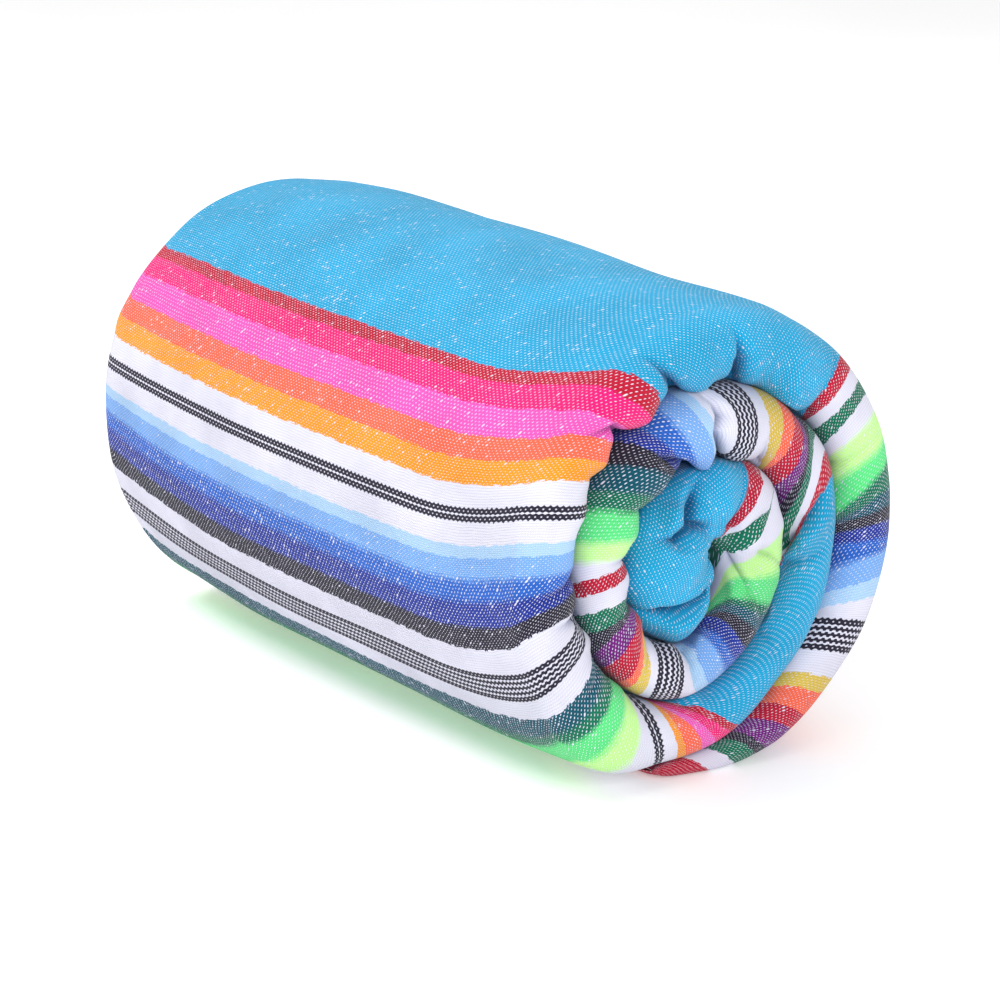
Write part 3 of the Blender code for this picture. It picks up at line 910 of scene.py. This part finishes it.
def line_group():
    """Node group for the bands of fine dark lines woven on white."""
    tree, given, result = new_group(
        "Serape fine lines",
        [("Five", "NodeSocketFloat"), ("Two", "NodeSocketFloat"), ("Across", "NodeSocketFloat")],
        [("Lines", "NodeSocketFloat")])
    middles = []
    for socket, band in zip(given.outputs, (FIVE_BAND, TWO_BAND)):
        place = calc(tree, "MULTIPLY", calc(tree, "FRACT", socket), band)
        middles.append(calc(tree, "SUBTRACT", place, band / 2))
    across = calc(tree, "MULTIPLY", given.outputs[2], 1 / (MM * CHAIN_PITCH))
    link = calc(tree, "SUBTRACT", calc(tree, "FRACT", across), 0.5)
    braids = [chain(tree, calc(tree, "SUBTRACT", calc(tree, "ABSOLUTE", middle), pair), link)
              for middle, pair in zip(middles, (FIVE_PAIR, TWO_PAIR))]
    zigzag = calc(tree, "SINE", calc(tree, "MULTIPLY", across, 2 * math.pi))
    stepped = ease_between(tree, zigzag, -THIN_TURN, THIN_TURN, -THIN_SWING, THIN_SWING)
    swung = calc(tree, "ADD", stepped, middles[0])
    off = calc(tree, "ABSOLUTE", calc(tree, "WRAP", swung, THIN_SPACE, -THIN_SPACE))
    inside = calc(tree, "LESS_THAN", calc(tree, "ABSOLUTE", swung), THIN_REACH)
    thin = calc(tree, "MULTIPLY", ease_between(tree, off, *THIN_BLUR), inside)
    both = calc(tree, "MAXIMUM", *braids)
    tree.links.new(calc(tree, "MAXIMUM", both, thin), result.inputs[0])
    return tree


def weave_group(sizes):
    """Node group for the weave: staggered white threads that show through, the grooves between threads,
    slow drift, and how far a thread's dye strays over its stripe's side. Along and across are metres."""
    labels = ("Fleck reach", "Fleck light", "Grooves", "Drift", "Stray")
    tree, given, result = new_group(
        "Serape weave", [("Along", "NodeSocketFloat"), ("Across", "NodeSocketFloat")],
        [(label, "NodeSocketFloat") for label in labels])
    plain = put(tree, "ShaderNodeCombineXYZ")
    feed(tree, plain.inputs[0], given.outputs[0])
    feed(tree, plain.inputs[1], given.outputs[1])
    wander = calc(tree, "SUBTRACT", noise(tree, plain.outputs[0], WANDER_GRAIN), 0.5)
    along = calc(tree, "MULTIPLY_ADD", wander, sizes.row_pitch * ROW_WANDER, given.outputs[0])
    a = calc(tree, "DIVIDE", along, sizes.row_pitch)
    row = calc(tree, "FLOOR", a)
    stagger = calc(tree, "MULTIPLY", calc(tree, "FLOORED_MODULO", row, 2.0), 0.5)
    across = calc(tree, "MULTIPLY_ADD", wander, sizes.fleck_pitch * FLECK_WANDER, given.outputs[1])
    b = calc(tree, "ADD", calc(tree, "DIVIDE", across, sizes.fleck_pitch), stagger)
    cell = calc(tree, "FLOOR", b)
    key = put(tree, "ShaderNodeCombineXYZ")
    feed(tree, key.inputs[0], row)
    feed(tree, key.inputs[1], cell)
    chance = put(tree, "ShaderNodeTexWhiteNoise", noise_dimensions="2D")
    feed(tree, chance.inputs["Vector"], key.outputs[0])
    more = put(tree, "ShaderNodeSeparateXYZ")
    feed(tree, more.inputs[0], chance.outputs[1])
    rare = calc(tree, "GREATER_THAN", chance.outputs[0], SLUB_RARITY)
    slub = calc(tree, "MULTIPLY", rare, SLUB_SIZE)
    size = calc(tree, "MULTIPLY_ADD", more.outputs[0], FLECK_SIZE_SPREAD, FLECK_SIZE)
    size = calc(tree, "ADD", size, slub)
    off_a = calc(tree, "SUBTRACT", calc(tree, "FRACT", a), 0.5)
    off_b = calc(tree, "SUBTRACT", calc(tree, "FRACT", b), 0.5)
    slanted = calc(tree, "MULTIPLY_ADD", off_a, FLECK_SLANT, off_b)
    near_a = calc(tree, "MULTIPLY", off_a, sizes.row_pitch / sizes.fleck_length)
    near_b = calc(tree, "MULTIPLY", slanted, sizes.fleck_pitch / sizes.fleck_width)
    away = distance(tree, near_a, near_b)
    light = calc(tree, "MULTIPLY_ADD", more.outputs[1], FLECK_LIGHT_SPREAD, FLECK_LIGHT)
    thread = calc(tree, "MULTIPLY_ADD", slanted, 2.0, 0.5)
    off_thread = calc(tree, "SUBTRACT", calc(tree, "FRACT", thread), 0.5)
    grooves = [ease_between(tree, calc(tree, "ABSOLUTE", off), *GROOVE_PLACE, 0.0, 0.5)
               for off in (off_a, off_thread)]
    strayed = calc(tree, "SUBTRACT", more.outputs[2], 0.5)
    results = (calc(tree, "DIVIDE", away, size), light, calc(tree, "ADD", *grooves),
               noise(tree, plain.outputs[0], DRIFT_GRAIN, 3.0),
               calc(tree, "MULTIPLY", strayed, sizes.row_pitch * STRAY))
    for socket, value in zip(result.inputs, results):
        feed(tree, socket, value)
    return tree


def from_map(tree, name):
    """The two values that one of the sheet's maps holds."""
    split = put(tree, "ShaderNodeSeparateXYZ")
    feed(tree, split.inputs[0], put(tree, "ShaderNodeUVMap", uv_map=name).outputs[0])
    return split.outputs


def new_material(name, shine):
    """A new material: itself, its nodes and its shader, with how much the surface mirrors."""
    material = bpy.data.materials.new(name)
    material.use_nodes = True
    shader = material.node_tree.nodes["Principled BSDF"]
    shader.inputs["Specular IOR Level"].default_value = shine
    return material, material.node_tree, shader


def cloth_material(name, stripes, lines, weave, colours, sizes, shade):
    """A matte woven material: stripes, fine lines, white flecks and the relief of its threads, with
    painted shade in the grooves between threads, in creases, in the gaps beside turns and all over an
    inner turn.
    """
    material, tree, shader = new_material(name, 0.1)
    shader.inputs["Metallic"].default_value = 0.0
    shader.inputs["Sheen Weight"].default_value = 0.1
    shader.inputs["Sheen Roughness"].default_value = 0.5
    place, count, thread, hollow = (from_map(tree, label)
                                    for label in ("cloth", "lines", "weave", "hollow"))
    woven = put(tree, "ShaderNodeGroup", node_tree=weave)
    feed(tree, woven.inputs["Along"], thread[0])
    feed(tree, woven.inputs["Across"], thread[1])
    dyed = put(tree, "ShaderNodeGroup", node_tree=stripes)
    feed(tree, dyed.inputs["Along"], calc(tree, "ADD", place[0], woven.outputs["Stray"]))
    drawn = put(tree, "ShaderNodeGroup", node_tree=lines)
    feed(tree, drawn.inputs["Five"], count[0])
    feed(tree, drawn.inputs["Two"], count[1])
    feed(tree, drawn.inputs["Across"], place[1])
    white = (*colours.white, 1.0)
    # Turns that lie deeper in the roll get a copy of the cloth darkened a little all over: painted shade
    tones = [tone * shade for tone in DRIFT_TONES]
    drift = ease_between(tree, woven.outputs["Drift"], 0.25, 0.75, *tones)
    # Painted shade in the grooves between threads, with the rest lifted a little
    painted_groove_shade = calc(tree, "MULTIPLY_ADD", woven.outputs["Grooves"], -GROOVE_SHADE, GROOVE_TONE)
    tone = calc(tree, "MULTIPLY", drift, painted_groove_shade)
    ground = blend(tree, 1.0, dyed.outputs["Colour"], grey(tree, tone), "MULTIPLY")
    share = calc(tree, "MAXIMUM", dyed.outputs["Flecks"], LEAST_FLECKS)
    reach = calc(tree, "DIVIDE", woven.outputs["Fleck reach"], share)
    showing = calc(tree, "MULTIPLY", ease_between(tree, reach, *FLECK_BLUR),
                   woven.outputs["Fleck light"])
    flecked = blend(tree, showing, ground, white)
    inked = blend(tree, drawn.outputs["Lines"], flecked, (*colours.black, 1.0))
    # Painted shade: the colour darkens deep in creases and in the gaps beside turns
    painted_shade_tint = put(tree, "ShaderNodeCombineColor")
    for socket, lost in zip(painted_shade_tint.inputs[:3], PAINTED_SHADE_LOSS):
        feed(tree, socket, ease_between(tree, hollow[0], 0.0, 1.0, 1.0, 1.0 - lost))
    feed(tree, shader.inputs["Base Color"], blend(tree, 1.0, inked, painted_shade_tint.outputs[0], "MULTIPLY"))
    rough = ease_between(tree, woven.outputs["Drift"], 0.2, 0.8, *ROUGHNESS)
    feed(tree, shader.inputs["Roughness"], rough)
    lifted = calc(tree, "MULTIPLY", showing, FLECK_HEIGHT)
    relief = calc(tree, "MULTIPLY_ADD", woven.outputs["Grooves"], -GROOVE_DEPTH, lifted)
    bump = put(tree, "ShaderNodeBump")
    bump.inputs["Strength"].default_value = RELIEF_STRENGTH
    bump.inputs["Distance"].default_value = sizes.relief
    feed(tree, bump.inputs["Height"], relief)
    feed(tree, shader.inputs["Normal"], bump.outputs[0])
    return material


def plain_material(name, colour, roughness, grain, glow=0.0):
    """A quiet material with a faint grain: the hidden plies', and the floor's, which glows a little."""
    material, tree, shader = new_material(name, 0.2)
    shader.inputs["Roughness"].default_value = roughness
    shader.inputs["Emission Color"].default_value = (1.0, 1.0, 1.0, 1.0)
    shader.inputs["Emission Strength"].default_value = glow
    place = put(tree, "ShaderNodeTexCoord")
    tone = ease_between(tree, noise(tree, place.outputs["Object"], grain), 0.3, 0.7, 0.96, 1.0)
    base = blend(tree, 1.0, (*colour, 1.0), grey(tree, tone), "MULTIPLY")
    feed(tree, shader.inputs["Base Color"], base)
    return material


def cloth_for(name, shade):
    """The woven material under a given name, darkened all over by a given painted shade, with its node
    groups made on first use.
    """
    colours, sizes = bpy.context.scene.serape_colours, bpy.context.scene.serape_sizes
    groups = bpy.data.node_groups
    stripes = groups.get("Serape stripes") or stripe_group(colours)
    lines = groups.get("Serape fine lines") or line_group()
    weave = groups.get("Serape weave") or weave_group(sizes)
    return cloth_material(name, stripes, lines, weave, colours, sizes, shade)


def dress(piece, material, nodes):
    """Gives a sheet its material, hangs it on the frame's root and hides the parts of the frame that it
    stands in for.
    """
    piece.data.materials.append(material)
    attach(piece, "root")
    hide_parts(*nodes)


class SERAPE_OT_inner(bpy.types.Operator):
    """Builds the plies inside the roll, which the folded edges lie on"""

    bl_idname = "serape.inner"
    bl_label = "Inner plies"

    def execute(self, context):
        piece = inner_piece()
        piece.data.materials.append(plain_material("inner plies", INNER_TONE, 0.95, 400.0))
        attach(piece, "root")
        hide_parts("hidden_layers")
        return {"FINISHED"}


class SERAPE_OT_wrap(bpy.types.Operator):
    """Builds the outer turn of the roll, with both of its folded edges"""

    bl_idname = "serape.wrap"
    bl_label = "Outer wrap"

    def execute(self, context):
        dress(wrap_piece(), cloth_for("outer cloth", 1.0), ["outer_wrap"])
        return {"FINISHED"}


class SERAPE_OT_second(bpy.types.Operator):
    """Builds the folded edges of the second turn, at both ends of the roll"""

    bl_idname = "serape.second"
    bl_label = "Second turn"

    def execute(self, context):
        # Painted shade: this inner turn's cloth is a little darker all over
        material = cloth_for("second turn cloth", 0.99)
        for end, side in (("near", 1), ("far", -1)):
            piece = stretch_piece("second_" + end, SECOND_START, CORE_START, SECOND_ROWS, side)
            dress(piece, material, ["second_turn_" + end])
        return {"FINISHED"}


class SERAPE_OT_core(bpy.types.Operator):
    """Builds the folded edges of the core, at both ends of the roll"""

    bl_idname = "serape.core"
    bl_label = "Core turn"

    def execute(self, context):
        # Painted shade: this inner turn's cloth is a little darker all over
        material = cloth_for("core cloth", 0.99)
        for end, side in (("near", 1), ("far", -1)):
            piece = stretch_piece("core_" + end, CORE_START, CORE_END, CORE_ROWS, side)
            dress(piece, material, ["core_turn_" + end])
        return {"FINISHED"}


class SERAPE_OT_stage(bpy.types.Operator):
    """Sets up the pale floor, the soft lights and the camera"""

    bl_idname = "serape.stage"
    bl_label = "Stage"

    def execute(self, context):
        scene = context.scene
        mesh = bpy.data.meshes.new("floor")
        mesh.from_pydata([(-6, -6, 0), (6, -6, 0), (6, 6, 0), (-6, 6, 0)], [], [(0, 1, 2, 3)])
        mesh.materials.append(plain_material("floor", (0.88, 0.88, 0.88), 0.9, 3.0, FLOOR_GLOW))
        add_object("floor", mesh)
        for name, place, size, power in LIGHTS:
            soft_light(name, place, size, power)
        world = bpy.data.worlds.new("studio")
        world.use_nodes = True
        world.node_tree.nodes["Background"].inputs[0].default_value = (1.0, 1.0, 1.0, 1.0)
        world.node_tree.nodes["Background"].inputs[1].default_value = WORLD_LIGHT
        scene.world = world
        scene.view_settings.view_transform = "Standard"
        scene.camera = photo_camera()
        return {"FINISHED"}


def soft_light(name, place, size, power):
    """A square area light that faces the roll."""
    lamp = bpy.data.lights.new(name, "AREA")
    lamp.size = size
    lamp.energy = power
    light = add_object(name, lamp)
    light.location = place
    light.rotation_euler = (AXIS - Vector(place)).to_track_quat("-Z", "Y").to_euler()


def photo_camera():
    """The camera, at the photo's viewing angle."""
    turn, lift = math.radians(CAMERA_TURN), math.radians(CAMERA_LIFT)
    away = Vector((math.sin(turn) * math.cos(lift), -math.cos(turn) * math.cos(lift), math.sin(lift)))
    lens = bpy.data.cameras.new("camera")
    lens.sensor_width = 36.0
    lens.lens = CAMERA_LENS
    lens.shift_x, lens.shift_y = CAMERA_SHIFT
    lens.clip_start = 0.05
    camera = add_object("camera", lens)
    camera.location = AXIS + away * CAMERA_DISTANCE
    camera.rotation_euler = away.to_track_quat("Z", "Y").to_euler()
    return camera


class SERAPE_PT_panel(bpy.types.Panel):
    """Lists what the serape is made of"""

    bl_idname = "SERAPE_PT_panel"
    bl_label = "Rolled serape"
    bl_space_type = "VIEW_3D"
    bl_region_type = "UI"
    bl_category = "Serape"

    def draw(self, context):
        for group in (context.scene.serape_sizes, context.scene.serape_colours):
            for name in group.bl_rna.properties.keys():
                if name not in ("rna_type", "name"):
                    self.layout.prop(group, name)
        for operator in OPERATORS:
            self.layout.operator(operator.bl_idname)


OPERATORS = [SERAPE_OT_inner, SERAPE_OT_wrap, SERAPE_OT_second, SERAPE_OT_core, SERAPE_OT_stage]
CLASSES = [SerapeColours, SerapeSizes] + OPERATORS + [SERAPE_PT_panel]


def register():
    for kind in CLASSES:
        bpy.utils.register_class(kind)
    bpy.types.Scene.serape_colours = PointerProperty(type=SerapeColours)
    bpy.types.Scene.serape_sizes = PointerProperty(type=SerapeSizes)


def unregister():
    del bpy.types.Scene.serape_sizes
    del bpy.types.Scene.serape_colours
    for kind in reversed(CLASSES):
        bpy.utils.unregister_class(kind)


def main():
    register()
    bpy.ops.serape.inner()
    bpy.ops.serape.wrap()
    bpy.ops.serape.second()
    bpy.ops.serape.core()
    bpy.ops.serape.stage()
    bpy.context.view_layer.update()


if __name__ == "__main__":
    main()
